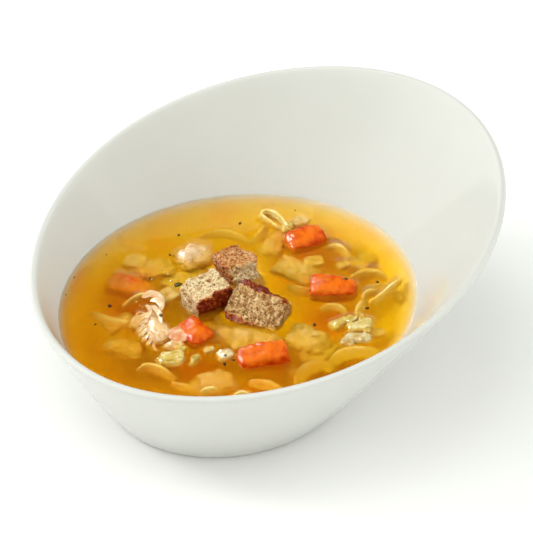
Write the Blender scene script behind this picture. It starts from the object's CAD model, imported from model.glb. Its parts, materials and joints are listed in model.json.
# %% [markdown]
# # Chicken noodle soup in a slanted porcelain bowl
#
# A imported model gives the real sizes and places: a bowl, the broth, and each piece of food that
# breaks the surface, all as plain faceted solids. This lesson gives them their looks. Every
# visible solid is either rebuilt from a copy of its own mesh, so that it stays where it lies,
# or replaced by a finer piece, and gets a material made from nodes.

# %% Load the model that everything is built around
import json
import math
import random

import bmesh
import bpy
from mathutils import Euler, Matrix, Vector, noise
from mathutils.bvhtree import BVHTree

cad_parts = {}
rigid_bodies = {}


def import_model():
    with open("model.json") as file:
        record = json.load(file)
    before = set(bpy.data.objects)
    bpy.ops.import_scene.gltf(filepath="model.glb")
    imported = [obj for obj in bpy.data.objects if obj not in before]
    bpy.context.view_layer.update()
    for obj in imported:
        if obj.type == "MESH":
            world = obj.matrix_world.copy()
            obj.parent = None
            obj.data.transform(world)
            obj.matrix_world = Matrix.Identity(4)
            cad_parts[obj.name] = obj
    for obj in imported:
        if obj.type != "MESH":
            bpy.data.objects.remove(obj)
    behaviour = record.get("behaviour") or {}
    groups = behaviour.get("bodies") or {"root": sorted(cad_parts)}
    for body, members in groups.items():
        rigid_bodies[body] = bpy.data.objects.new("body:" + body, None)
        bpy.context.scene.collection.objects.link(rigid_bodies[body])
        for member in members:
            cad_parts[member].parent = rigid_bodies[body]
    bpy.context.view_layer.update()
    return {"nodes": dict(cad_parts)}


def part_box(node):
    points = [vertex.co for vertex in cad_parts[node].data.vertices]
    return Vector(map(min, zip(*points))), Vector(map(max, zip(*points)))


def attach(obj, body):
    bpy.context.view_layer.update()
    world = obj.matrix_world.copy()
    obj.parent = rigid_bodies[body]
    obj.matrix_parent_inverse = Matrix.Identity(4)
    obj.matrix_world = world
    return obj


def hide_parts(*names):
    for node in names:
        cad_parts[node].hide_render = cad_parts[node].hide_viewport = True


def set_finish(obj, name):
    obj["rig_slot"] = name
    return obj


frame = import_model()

NODES = sorted(frame["nodes"])
print("solids in the model:", len(NODES))

# %% [markdown]
# ## Units and the two frames
#
# The model is in metres. Food is easier to think about in millimetres, so sizes below are in
# millimetres and turned to metres by MM. The food was laid out in a frame of its own, turned
# about the upright axis by SERVING_TURN, with heights counted from the broth's level: negative
# is under the surface. New pieces use the same layout, so they sit among the old ones.

# %% Units, the broth's level and the layout of the food
MM = 0.001
SAME = 0.001 * MM            # points nearer than this are one point
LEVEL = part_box("broth")[1].z
SERVING_TURN = math.radians(48.1)
SERVING = Matrix.Rotation(SERVING_TURN, 3, "Z")


def in_bowl(x, y, above=0.0):
    """A spot of the layout, in millimetres, as a point in metres in the bowl's frame."""
    return SERVING @ Vector((x, y, 0.0)) * MM + Vector((0.0, 0.0, LEVEL + above * MM))


print("broth level: %.1f mm above the table" % (LEVEL / MM))

# %% [markdown]
# ## Building materials from nodes
#
# A node tree is a list of nodes and links, and writing each one out by hand hides the recipe.
# One small function adds a node, sets its properties and fills its inputs, either with a value
# or with another node's output. Colours are written as the hex values that a paint chart or a
# browser shows. Those are sRGB, and Cycles works in linear light, so one function turns them.

# %% Two helpers: hex colours and nodes
def linear(hex_colour, alpha=1.0):
    """An sRGB hex colour as linear red, green, blue and alpha."""
    channels = []
    for start in (1, 3, 5):
        value = int(hex_colour[start:start + 2], 16) / 255.0
        channels.append(value / 12.92 if value <= 0.04045 else ((value + 0.055) / 1.055) ** 2.4)
    return (*channels, alpha)


def add(tree, kind, inputs=None, **settings):
    """Add a node, set its settings, and set or link its inputs by name or by number."""
    node = tree.nodes.new("ShaderNode" + kind)
    for name, value in settings.items():
        setattr(node, name, value)
    for name, value in (inputs or {}).items():
        if isinstance(value, bpy.types.NodeSocket):
            tree.links.new(value, node.inputs[name])
        else:
            node.inputs[name].default_value = value
    return node


def new_material(name):
    """An empty node material and its tree."""
    finish = bpy.data.materials.new(name)
    finish.use_nodes = True
    finish.node_tree.nodes.clear()
    return finish, finish.node_tree


def place_in_mm(tree):
    """Object coordinates, which here are the bowl's frame, in millimetres."""
    place = add(tree, "TexCoord").outputs["Object"]
    return add(tree, "VectorMath", {0: place, "Scale": 1.0 / MM}, operation="SCALE").outputs[0]


def ramp(tree, value, stops):
    """A colour for each value, from pairs of a position and a hex colour."""
    node = add(tree, "ValToRGB", {"Fac": value})
    elements = node.color_ramp.elements
    while len(elements) < len(stops):
        elements.new(1.0)
    for element, (position, colour) in zip(elements, stops):
        element.position = position
        element.color = linear(colour)
    return node.outputs["Color"]


def blend(tree, share, first, second, how="MIX"):
    """Two colours mixed by a share, which is a number or an output."""
    node = add(tree, "Mix", data_type="RGBA", blend_type=how)
    for socket, value in zip((node.inputs[0], node.inputs[6], node.inputs[7]),
                             (share, first, second)):
        if isinstance(value, bpy.types.NodeSocket):
            tree.links.new(value, socket)
        elif isinstance(value, str):
            socket.default_value = linear(value)
        else:
            socket.default_value = value
    return node.outputs[2]


def finish_surface(tree, shader):
    """Send a shader to the material's output."""
    add(tree, "OutputMaterial", {"Surface": shader})


print("helpers ready")

# %% [markdown]
# ## What a millimetre of broth does
#
# Chicken broth isn't clear like water: tiny drops of fat and protein scatter light, so a piece
# of carrot fades into gold as it sinks. A real scattering volume is slow to render and can't be
# exported. So the fading is split in two. The tint is a plain absorption inside the broth, and
# the haze is mixed into the colour of each sunk surface by its depth under the surface. It
# costs a few nodes, and it stays with the model when its colours are baked. Carrot gives its
# colour to the broth, so the haze turns orange in clouds, round each carrot and at one side.

# %% The haze of the broth, by depth
CARROTS = [name for name in NODES if name.startswith("carrot")]
HAZE_PER_MM = 0.42           # the share of a colour that each millimetre of broth hides
WALL_HAZE_PER_MM = 0.34      # less for the wall, whose own light shines through the haze
DEEPEST = 33.0               # the depth in millimetres at which the haze has its last colour
HAZE = [(0.0, "#D8AE24"), (0.15, "#DCB41C"), (0.40, "#E8C812"), (1.0, "#FCE60C")]
WALL_HAZE = [(0.0, "#F8DC9C"), (0.10, "#EDCC50"), (0.40, "#FAD80E"), (1.0, "#FFE204")]
ORANGE_TINT = "#FFC68C"      # what the gold is multiplied by where it turns orange
ORANGE_BELOW = 3.0           # the depth in millimetres from which the tint is full
CLOUD = (26.0, 0.45)         # the size of orange clouds in millimetres, and their strength
FRONT = (-15.0, -65.0, 0.4)  # where the orange of the front left begins and is full, and its share
GLOW = (5.0, 18.0)           # carrot colours the broth this far round its middle, in millimetres
FROM_FRONT_LEFT = SERVING @ Vector((0.65, 0.76, 0.0))


def middle_of(node):
    """The middle of a solid's box."""
    low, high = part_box(node)
    return 0.5 * (low + high)


def orange_share(tree):
    """Where the broth is orange and not gold: in clouds, at the front left, near carrots."""
    mm = place_in_mm(tree)
    clouds = add(tree, "TexNoise", {"Vector": mm, "Scale": 1 / CLOUD[0], "Detail": 3.0})
    share = add(tree, "MapRange", {"Value": clouds.outputs["Fac"], "From Min": 0.48,
                                   "From Max": 0.66, "To Max": CLOUD[1]}).outputs[0]
    onward = add(tree, "VectorMath", {0: mm, 1: FROM_FRONT_LEFT}, operation="DOT_PRODUCT")
    front = add(tree, "MapRange", {"Value": onward.outputs["Value"], "From Min": FRONT[0],
                                   "From Max": FRONT[1], "To Max": FRONT[2]}).outputs[0]
    share = add(tree, "Math", {0: share, 1: front}, operation="ADD", use_clamp=True).outputs[0]
    flat = add(tree, "VectorMath", {0: mm, 1: (1.0, 1.0, 0.0)}, operation="MULTIPLY").outputs[0]
    for name in CARROTS:
        middle = middle_of(name) / MM
        middle.z = 0.0
        away = add(tree, "VectorMath", {0: flat, 1: middle}, operation="DISTANCE")
        glow = add(tree, "MapRange", {"Value": away.outputs["Value"], "From Min": GLOW[0],
                                      "From Max": GLOW[1], "To Min": 1.0, "To Max": 0.0})
        share = add(tree, "Math", {0: share, 1: glow.outputs[0]}, operation="MAXIMUM").outputs[0]
    return share


def under_broth(tree, colour, most=0.9, soak=0.0, stops=HAZE, per_mm=HAZE_PER_MM):
    """The colour as it looks at its depth in the broth. soak starts the haze that much higher."""
    height = add(tree, "SeparateXYZ", {0: place_in_mm(tree)}).outputs["Z"]
    depth = add(tree, "Math", {0: LEVEL / MM + soak, 1: height}, operation="SUBTRACT")
    depth = add(tree, "Math", {0: depth.outputs[0], 1: 0.0}, operation="MAXIMUM")
    kept = add(tree, "Math", {0: 1.0 - per_mm, 1: depth.outputs[0]}, operation="POWER")
    hidden = add(tree, "Math", {0: 1.0, 1: kept.outputs[0]}, operation="SUBTRACT")
    hidden = add(tree, "Math", {0: hidden.outputs[0], 1: most}, operation="MULTIPLY")
    share = add(tree, "Math", {0: depth.outputs[0], 1: DEEPEST}, operation="DIVIDE")
    haze = ramp(tree, share.outputs[0], stops)
    orange = add(tree, "MapRange", {"Value": depth.outputs[0], "From Max": ORANGE_BELOW,
                                    "To Max": orange_share(tree)}).outputs[0]
    haze = blend(tree, orange, haze, ORANGE_TINT, "MULTIPLY")
    return blend(tree, hidden.outputs[0], colour, haze)


print("haze: %.0f%% hidden at 5 mm" % (100.0 * (1.0 - (1.0 - HAZE_PER_MM) ** 5)))

# %% [markdown]
# ## Glazed porcelain
#
# The bowl is slip-cast porcelain with a clear feldspar glaze, fired glossy. To the eye that is
# a cool white body with a soft translucency and a hard, nearly perfect shine, which waves a
# little because glaze pools as it melts. A Principled shader with an index of 1.5 and a low
# roughness gives it. A broad, very shallow bump makes the glaze wave, and fine noise in the
# roughness stands for the polish of use. Its inside below the level is seen through the broth,
# so the haze is mixed in there. An attribute called inside says which points those are.

# %% The porcelain
def porcelain_material():
    finish, tree = new_material("glazed_porcelain")
    mm = place_in_mm(tree)
    cloud = add(tree, "TexNoise", {"Vector": mm, "Scale": 1 / 45.0, "Detail": 2.0})
    body = ramp(tree, cloud.outputs["Fac"], [(0.3, "#D3D4CF"), (0.7, "#D7D8D4")])
    hazed = under_broth(tree, body, 1.0, stops=WALL_HAZE, per_mm=WALL_HAZE_PER_MM)
    inside = add(tree, "Attribute", attribute_name="inside").outputs["Fac"]
    colour = blend(tree, inside, body, hazed)
    polish = add(tree, "TexNoise", {"Vector": mm, "Scale": 1 / 6.0, "Detail": 4.0})
    rough = add(tree, "MapRange", {"Value": polish.outputs["Fac"], "To Min": 0.06, "To Max": 0.11})
    pooling = add(tree, "TexNoise", {"Vector": mm, "Scale": 1 / 18.0, "Detail": 1.0})
    bump = add(tree, "Bump", {"Height": pooling.outputs["Fac"], "Distance": 0.02 * MM,
                              "Strength": 0.6})
    shader = add(tree, "BsdfPrincipled", {
        "Base Color": colour, "Roughness": rough.outputs[0], "IOR": 1.5,
        "Normal": bump.outputs[0]})
    finish_surface(tree, shader.outputs[0])
    return finish


PORCELAIN = porcelain_material()
print("made", PORCELAIN.name)

# %% [markdown]
# ## Reworking a copy of a solid
#
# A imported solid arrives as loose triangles. It could be shaded smooth as it is, but gloss would
# show every facet. A copy can be treated as a cage instead: its doubles are merged, its
# triangles joined back into quads, and Catmull-Clark subdivision rounds it. Where an edge has
# to stay firm, it gets a crease. The result lies where the solid lies, just inside it.

# %% Helpers: from a solid to a smooth mesh
SHARP = math.radians(50.0)   # an edge turning more than this is a real edge of the piece
DROOP = {         # how many millimetres the ends and edges hang below the middle
    "chicken_front": 2.5, "chicken_right": 1.6, "chicken_back_left": 1.8, "carrot_left": 1.8,
    "noodle_front_fold": 1.6, "noodle_front_right": 1.6, "noodle_back_arc": 1.2,
    "noodle_left_arc": 1.2, "noodle_front_left": 1.2, "noodle_right_short": 1.0,
}
SINK = {          # how many millimetres lower a piece floats than its plain solid: at its middle,
                  # and more for each millimetre to the right and away
    "carrot_back": (0.9, 0, 0), "carrot_front": (-0.6, 0, 0), "carrot_left": (1.8, -0.10, 0),
    "carrot_middle": (0.6, 0, 0), "carrot_right": (0.4, 0, 0),
    "chicken_back_left": (1.3, 0.06, 0), "chicken_front": (2.4, 0, 0.05),
    "chicken_right": (2.2, 0.12, 0), "chicken_pulled": (0.5, 0, 0), "chicken_flap": (0.5, 0, 0),
    "celery_left_end": (0.5, 0, 0), "celery_right": (0.3, 0, 0), "onion_back": (0.9, 0, 0),
    "noodle_back_arc": (0.6, 0.05, 0), "noodle_back_loop": (0.3, 0, 0),
    "noodle_front_curl": (0.4, 0, 0), "noodle_front_fold": (2.6, 0, 0),
    "noodle_front_left": (2.0, 0.03, 0), "noodle_front_right": (2.1, 0, 0),
    "noodle_front_tip": (0.4, 0, 0), "noodle_left_arc": (0.9, 0, 0),
    "noodle_right_long": (0.8, -0.05, 0), "noodle_right_short": (1.0, 0, 0),
}


def cage_of(node):
    """A merged copy of a solid's mesh, with quads where two triangles make a flat one."""
    bm = bmesh.new()
    bm.from_mesh(frame["nodes"][node].data)
    bmesh.ops.remove_doubles(bm, verts=bm.verts[:], dist=SAME)
    bmesh.ops.join_triangles(bm, faces=bm.faces[:], angle_face_threshold=SHARP,
                             angle_shape_threshold=math.radians(70.0))
    amount, rightward, onward = SINK.get(node, (0, 0, 0))
    low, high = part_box(node)
    middle, reach = 0.5 * (low + high), 0.5 * (high - low).xy.length
    for vert in bm.verts:
        aside = SERVING.inverted() @ (vert.co - middle)
        vert.co.z -= amount * MM + rightward * aside.x + onward * aside.y
        vert.co.z -= DROOP.get(node, 0.0) * MM * (aside.x ** 2 + aside.y ** 2) / reach ** 2
    return bm


def evaluated(bm, modifiers):
    """The bmesh after a list of modifiers, each a type and its settings."""
    mesh = bpy.data.meshes.new("cage")
    bm.to_mesh(mesh)
    bm.free()
    holder = bpy.data.objects.new("cage", mesh)
    bpy.context.scene.collection.objects.link(holder)
    for kind, settings in modifiers:
        modifier = holder.modifiers.new(kind.lower(), kind)
        for name, value in settings.items():
            setattr(modifier, name, value)
    shape = bpy.data.meshes.new_from_object(
        holder.evaluated_get(bpy.context.evaluated_depsgraph_get()))
    result = bmesh.new()
    result.from_mesh(shape)
    bpy.data.objects.remove(holder)
    bpy.data.meshes.remove(mesh)
    bpy.data.meshes.remove(shape)
    return result


def rounded(bm, levels, crease=0.0):
    """Catmull-Clark subdivision of a cage, with every sharp edge creased by a share."""
    if crease > 0.0:
        layer = bm.edges.layers.float.new("crease_edge")
        for edge in bm.edges:
            if edge.calc_face_angle(0.0) > SHARP:
                edge[layer] = crease
    return evaluated(bm, [("SUBSURF", {"levels": levels, "render_levels": levels})])


def show(name, bm, finish, slot=None, replaced=()):
    """Turn a bmesh into a shown piece that rides on the model."""
    mesh = bpy.data.meshes.new(name)
    bm.to_mesh(mesh)
    bm.free()
    mesh.materials.append(finish)
    mesh.shade_smooth()
    piece = bpy.data.objects.new(name, mesh)
    bpy.context.scene.collection.objects.link(piece)
    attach(piece, "root")
    if replaced:
        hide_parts(*replaced)
    if slot:
        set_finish(piece, slot)
    print("%s: %d faces" % (name, len(mesh.polygons)))
    return piece


# %% [markdown]
# ## The bowl
#
# The bowl's cage has sixty sides and only a few rings up its wall, which is plenty for a
# straight wall. At the foot, though, subdivision would pull the long wall faces into a wide
# curve. Cutting two extra rings just above the table holds the foot's edge tight, as a modeller
# does with loop cuts. The wall leans outwards, so the points of its inner side are those whose
# normal points up.

# %% The smooth bowl
FOOT_LOOPS = (1.4, 3.2)      # heights of the two holding rings above the table


def make_bowl():
    bm = cage_of("bowl")
    for height in FOOT_LOOPS:
        bmesh.ops.bisect_plane(bm, geom=bm.verts[:] + bm.edges[:] + bm.faces[:],
                               plane_co=(0.0, 0.0, height * MM), plane_no=(0.0, 0.0, 1.0),
                               dist=SAME)
    bm = rounded(bm, 2)
    bm.normal_update()
    inside = bm.verts.layers.float.new("inside")
    for vert in bm.verts:
        vert[inside] = float(vert.normal.z > 0.0)
    return show("porcelain_bowl", bm, PORCELAIN, "porcelain", ["bowl"])


BOWL = make_bowl()
BOWL_TREE = BVHTree.FromPolygons([vert.co for vert in BOWL.data.vertices],
                                 [face.vertices for face in BOWL.data.polygons])

# %% [markdown]
# ## A grain for every piece of food
#
# Meat has fibres, bread has a crust side, celery has ribs. Their patterns have to turn with the
# piece. So each piece stores its own coordinates, in millimetres along its own three axes, as
# an attribute called grain. The same numbers drive the shape here and the colours in the nodes.
# Blender's vector noise takes its start from the clock, so it is given a fixed seed first.

# %% Helpers: a piece's own axes, and moving its surface
noise.seed_set(1)
TURNS = {
    "crouton_left": (2, -2, 35), "crouton_back": (3, 2, 36), "crouton_front": (-48, 9, -24.5),
    "carrot_front": (12, -6, 9), "carrot_middle": (6, 8, -46), "carrot_left": (8, 6, -22),
    "carrot_right": (8, 2, -4), "carrot_back": (10, -5, 26),
    "chicken_back_left": (10, 0, 28), "chicken_pulled": (4, -6, -62),
    "chicken_flap": (20, 0, 18), "chicken_front": (0, 4, 8), "chicken_right": (6, -4, -26),
    "celery_left": (0, 0, 12), "celery_left_end": (0, 0, 68), "celery_right": (0, 0, 40),
    "celery_right_end": (0, 0, 24), "onion_middle": (0, 0, 30), "onion_right": (0, 0, -4),
    "onion_back": (0, 0, 32),
}


def axes(turn):
    """A piece's own axes in the bowl's frame, from its turn in degrees in the layout."""
    return SERVING @ Euler([math.radians(angle) for angle in turn]).to_matrix()


def lay_grain(bm, turn, centre):
    """Store each point's place along the piece's own axes, in millimetres."""
    layer = bm.verts.layers.float_vector.new("grain")
    into = axes(turn).inverted()
    for vert in bm.verts:
        vert[layer] = into @ (vert.co - centre) / MM
    return bm


def push(bm, height_at):
    """Move each point along its normal by a height in millimetres, found from its grain."""
    bm.normal_update()
    layer = bm.verts.layers.float_vector["grain"]
    moves = [vert.normal * height_at(vert[layer]) * MM for vert in bm.verts]
    for vert, move in zip(bm.verts, moves):
        vert.co += move
    return bm


NOISE_TILT = Euler((0.6, 0.9, 0.4)).to_matrix()       # keeps the noise's grid off flat faces


def wobble(point, size, seed=0.0):
    """Smooth noise from -1 to 1 with lumps of a size in millimetres."""
    tilted = NOISE_TILT @ Vector(point)
    return noise.noise(tilted / size + Vector((seed, 2.3 * seed, -1.7 * seed)))


def lumps(spot, table, seed):
    """The sum of several sizes of smooth noise. Each row is a height and a size in millimetres."""
    return sum(height * wobble(spot, size, seed) for height, size in table)


def smoothstep(low, high, value):
    """0 below low, 1 above high, and smooth in between. low may be the larger one."""
    share = min(1.0, max(0.0, (value - low) / (high - low)))
    return share * share * (3.0 - 2.0 * share)


# %% [markdown]
# ## Toasted bread
#
# The cubes are cut from a wholemeal loaf and toasted. The crumb is a foam: bubbles of two or
# three sizes, torn open by the knife, with bran specks in pale walls. The crust sides are
# dense, red-brown and a little shiny. Bump mapping alone would leave the outline smooth, so
# the larger pits are real: the copy is divided to about a third of a millimetre, and each point
# is sunk by cell noise at three bubble sizes. The noise is warped twice, because bubbles that
# are pressed together are never round. How deep a point lies and how much crust it has are
# stored as attributes, so that the colours follow the shape exactly.

# %% The shape of toasted bread
BUBBLES = ((2.8, 0.75, 0.35), (1.5, 0.42, 0.40), (0.8, 0.25, 0.5))   # spacing, depth, share open
WARPS = ((1.5, 3.0), (0.7, 1.2))     # how far bubbles are pushed askew, and over what distance
HOLLOW = (0.52, 0.14)                # where a bubble's wall begins and its bottom is, in spacings
BREAD_LUMPS = ((1.10, 6.5, 3.0), (0.50, 3.0, 4.0))     # height, size, and a shift of the seed
CRUMBLE, CRUMBLE_SIZE = 0.34, 1.6    # the finest unevenness of torn crumb
BREAD_CUTS = 13                      # cuts along each edge of the plain solid
CORNER_PASSES = 5                    # rounds of smoothing, which wear the corners off
SWELL = 0.30                         # what the smoothing took off, in millimetres


def make_crouton(name, crust_sides, stretch, seed, toasted=0.25, dark=0.0, reach=1.5, skirt=0.0,
                 waist=0.0):
    """Bread with crust on some of its sides. stretch flattens the bubbles along each axis.

    toasted is how brown its edges are, dark how dark its crumb is, and reach how many
    millimetres the browning goes in. skirt spreads its foot to the right, and waist narrows
    its middle, both in millimetres.
    """
    bm = bmesh.new()
    bm.from_mesh(frame["nodes"][name].data)
    bmesh.ops.remove_doubles(bm, verts=bm.verts[:], dist=SAME)
    bmesh.ops.subdivide_edges(bm, edges=bm.edges[:], cuts=BREAD_CUTS, use_grid_fill=True)
    for _pass in range(CORNER_PASSES):
        bmesh.ops.smooth_vert(bm, verts=bm.verts[:], factor=0.5, use_axis_x=True,
                              use_axis_y=True, use_axis_z=True)
    lay_grain(bm, TURNS[name], middle_of(name))
    grain = bm.verts.layers.float_vector["grain"]
    pore = bm.verts.layers.float.new("pore")
    crust = bm.verts.layers.float.new("crust")
    half = [max(abs(vert[grain][axis]) for vert in bm.verts) for axis in range(3)]
    bm.normal_update()
    moves = []
    for vert in bm.verts:
        spot = vert[grain]
        below = [half[axis] - abs(spot[axis]) for axis in range(3)]
        edge = sorted(below)[1]                      # small near the cube's edges
        brown = toasted * smoothstep(2.4, 0.3, edge + 0.9 * wobble(spot, 1.8, seed + 7.0))
        for axis, sign, strength in crust_sides:
            deep = half[axis] - sign * spot[axis] + 0.6 * reach * wobble(spot, 2.4, seed)
            brown = max(brown, strength * smoothstep(reach + 1.2, reach - 0.5, deep))
        stretched = Vector([spot[axis] / stretch[axis] for axis in range(3)])
        for axis, (far, over) in enumerate(WARPS):
            shift = Vector([seed if axis == other else 0.0 for other in range(3)])
            stretched += far * noise.noise_vector(stretched / over + shift)
        pit, depth = 0.0, 0.0
        for size, deep, share in BUBBLES:
            distances, cells = noise.voronoi(stretched / size + Vector((seed, seed, seed)))
            if noise.cell(cells[0] * 37.0) < share:
                hollow = smoothstep(*HOLLOW, distances[0])
                depth += deep * hollow
                pit = max(pit, hollow * min(1.0, deep + 0.4))
        depth *= 1.0 - 0.7 * brown
        ragged = noise.fractal(spot / CRUMBLE_SIZE + Vector((seed, 1.0, 2.0)), 0.7, 2.0, 4)
        for height, size, shift in BREAD_LUMPS:
            depth += height * wobble(spot, size, seed + shift)
        depth += CRUMBLE * ragged
        tone = pit * (1.0 - 0.5 * brown) + 0.35 * ragged + dark
        vert[pore] = min(1.0, max(0.0, tone))
        vert[crust] = brown
        moves.append(vert.normal * (SWELL - depth) * MM)
    turned = axes(TURNS[name])
    for vert, move in zip(bm.verts, moves):
        spot = vert[grain]
        share = max(0.0, 0.4 - spot[2] / half[2]) * max(0.0, 0.5 + 0.5 * spot[0] / half[0])
        vert.co += move + SERVING @ Vector((1.0, -0.3, 0.0)) * skirt * share * MM
        narrow = waist * math.exp(-3.0 * (spot[2] / half[2]) ** 2)
        inward = Vector((-spot[0] / half[0], -0.6 * spot[1] / half[1], 0.0))
        vert.co += turned @ inward * narrow * MM
    return show("toast_" + name.split("_")[1], bm, TOAST, "toasted_bread", [name])


# %% [markdown]
# The material reads the two attributes. The crumb goes from cream on the torn walls to brown in
# the pits, and the toasting from gold through chestnut to nearly black, with small bran specks
# over the crumb. Pinholes too small for the mesh are cells in the nodes, which darken the
# colour and dent the bump. Toast is dry and rough, but the crust keeps a low sheen. The lowest
# millimetre has drawn up broth, so the haze starts a little above the level there.

# %% The look of toasted bread
def toast_material():
    finish, tree = new_material("toasted_wholemeal_bread")
    grain = add(tree, "Attribute", attribute_name="grain").outputs["Vector"]
    pore = add(tree, "Attribute", attribute_name="pore").outputs["Fac"]
    crust = add(tree, "Attribute", attribute_name="crust").outputs["Fac"]
    mottle = add(tree, "TexNoise", {"Vector": grain, "Scale": 1 / 1.3, "Detail": 6.0,
                                    "Roughness": 0.68}).outputs["Fac"]
    pitted = add(tree, "Math", {0: mottle, 1: 1.1, 2: -0.46}, operation="MULTIPLY_ADD")
    tone = add(tree, "Math", {0: pore, 1: 0.55, 2: pitted.outputs[0]}, operation="MULTIPLY_ADD")
    bend = add(tree, "TexNoise", {"Vector": grain, "Scale": 1 / 1.4}).outputs["Color"]
    bent = add(tree, "VectorMath", {0: bend, 1: (2.0, 2.0, 2.0), 2: grain},
               operation="MULTIPLY_ADD").outputs[0]
    drawn = add(tree, "Mapping", {"Vector": bent, "Scale": (0.40, 1.20, 0.95)}).outputs[0]
    small = add(tree, "TexVoronoi", {"Vector": drawn, "Scale": 1 / 0.8}).outputs["Distance"]
    pinhole = add(tree, "MapRange", {"Value": small, "From Min": 0.15, "From Max": 0.42,
                                     "To Min": 0.50, "To Max": -0.06}).outputs[0]
    tone = add(tree, "Math", {0: tone.outputs[0], 1: pinhole}, operation="ADD").outputs[0]
    crumb = ramp(tree, tone, [(0.0, "#F8E6BC"), (0.22, "#EBCD98"), (0.46, "#C99E66"),
                              (0.72, "#95683A"), (1.0, "#60391C")])
    specks = add(tree, "TexVoronoi", {"Vector": grain, "Scale": 1 / 1.3}).outputs["Distance"]
    speck = add(tree, "MapRange", {"Value": specks, "From Min": 0.10, "From Max": 0.24,
                                   "To Min": 0.6, "To Max": 0.0}).outputs[0]
    crumb = blend(tree, speck, crumb, "#7E5228")
    patches = add(tree, "TexNoise", {"Vector": grain, "Scale": 1 / 5.0, "Detail": 3.0})
    patch = add(tree, "MapRange", {"Value": patches.outputs["Fac"], "From Min": 0.45,
                                   "From Max": 0.72, "To Max": 0.5}).outputs[0]
    crumb = blend(tree, patch, crumb, "#B47A3E")
    streak = add(tree, "TexNoise", {"Vector": grain, "Scale": 1 / 1.5, "Detail": 6.0,
                                    "Roughness": 0.7}).outputs["Fac"]
    burn = add(tree, "Math", {0: streak, 1: 1.5, 2: -0.84}, operation="MULTIPLY_ADD").outputs[0]
    burn = add(tree, "Math", {0: pinhole, 1: 0.8, 2: burn}, operation="MULTIPLY_ADD").outputs[0]
    burn = add(tree, "Math", {0: crust, 1: 0.64, 2: burn}, operation="MULTIPLY_ADD").outputs[0]
    brown = ramp(tree, burn, [(0.08, "#DDA866"), (0.24, "#C0722C"), (0.42, "#9A3C0E"),
                              (0.60, "#6E1C06"), (0.90, "#340A02")])
    share = add(tree, "MapRange", {"Value": crust, "From Min": 0.05, "From Max": 0.55}).outputs[0]
    colour = blend(tree, share, crumb, brown)
    colour = under_broth(tree, colour, 0.8, soak=1.0)
    rough = add(tree, "MapRange", {"Value": crust, "To Min": 0.92, "To Max": 0.42}).outputs[0]
    fine = add(tree, "TexNoise", {"Vector": grain, "Scale": 1 / 0.5, "Detail": 4.0})
    coarse = add(tree, "Bump", {"Height": small, "Distance": 0.5 * MM, "Strength": 0.8})
    bump = add(tree, "Bump", {"Height": fine.outputs["Fac"], "Distance": 0.2 * MM,
                              "Strength": 0.9, "Normal": coarse.outputs[0]})
    shader = add(tree, "BsdfPrincipled", {
        "Base Color": colour, "Roughness": rough, "IOR": 1.45, "Normal": bump.outputs[0],
        "Specular IOR Level": 0.1, "Subsurface Weight": 0.08,
        "Subsurface Radius": (1.2 * MM, 0.7 * MM, 0.35 * MM)})
    finish_surface(tree, shader.outputs[0])
    return finish


TOAST = toast_material()
X, Y, Z = 0, 1, 2
make_crouton("crouton_left", [(Y, -1, 1.0)], (1.0, 1.0, 0.8), 3.0)
make_crouton("crouton_back", [(X, -1, 0.55), (Y, 1, 0.6), (Z, 1, 0.50)], (1.4, 0.8, 1.0), 8.0,
             toasted=0.55, dark=-0.08, reach=1.8, skirt=3.8, waist=2.0)
make_crouton("crouton_front", [(Z, 1, 1.0), (Z, -1, 0.8)], (0.7, 1.0, 1.5), 5.0,
             toasted=0.35, dark=0.55, reach=2.3)

# %% [markdown]
# ## Making new food: blocks and ribbons
#
# What lies wholly under the surface has no solid in the model, so it is made here. A diced or
# torn piece starts as a cube, divided, scaled and made uneven with noise. A noodle starts as a
# long divided cube too, whose rings are laid along a smooth curve through a few chosen spots.
# Both are coarse cages, and both then go through the same subdivision as the copies. A dome
# lets the top of a sunk piece fall away to its sides, so that the haze gives it a soft edge.

# %% Helpers: cages for new pieces
BLOCK_CUTS = 3
UNEVEN_OVER = 4.5            # the size in millimetres of a block's unevenness


def block_cage(size, spot, turn, narrow, dome, rough, seed):
    """An uneven cut block. Sizes and spot are in millimetres of the layout, turn in degrees."""
    bm = bmesh.new()
    bmesh.ops.create_cube(bm, size=1.0)
    bmesh.ops.subdivide_edges(bm, edges=bm.edges[:], cuts=BLOCK_CUTS, use_grid_fill=True)
    for vert in bm.verts:
        shrink = 1.0 - narrow * (vert.co.x + 0.5)
        fall = 2.0 * dome * (vert.co.x ** 2 + vert.co.y ** 2) if vert.co.z > 0.0 else 0.0
        point = Vector((vert.co.x * size[0], vert.co.y * size[1] * shrink,
                        vert.co.z * size[2] - fall))
        point += rough * noise.noise_vector(point / UNEVEN_OVER + Vector((seed, -seed, 2.0 * seed)))
        vert.co = axes(turn) @ point * MM + in_bowl(*spot)
    return bm


def curve_through(points, steps):
    """Evenly parted points on a smooth curve through the given ones."""
    padded = [2.0 * points[0] - points[1]] + points + [2.0 * points[-1] - points[-2]]
    run = []
    for index in range(len(points) - 1):
        before, start, end, after = padded[index:index + 4]
        for step in range(steps):
            t = step / steps
            run.append(0.5 * (2.0 * start + (end - before) * t
                              + (2.0 * before - 5.0 * start + 4.0 * end - after) * t ** 2
                              + (3.0 * start - before - 3.0 * end + after) * t ** 3))
    return run + [points[-1]]


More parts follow.
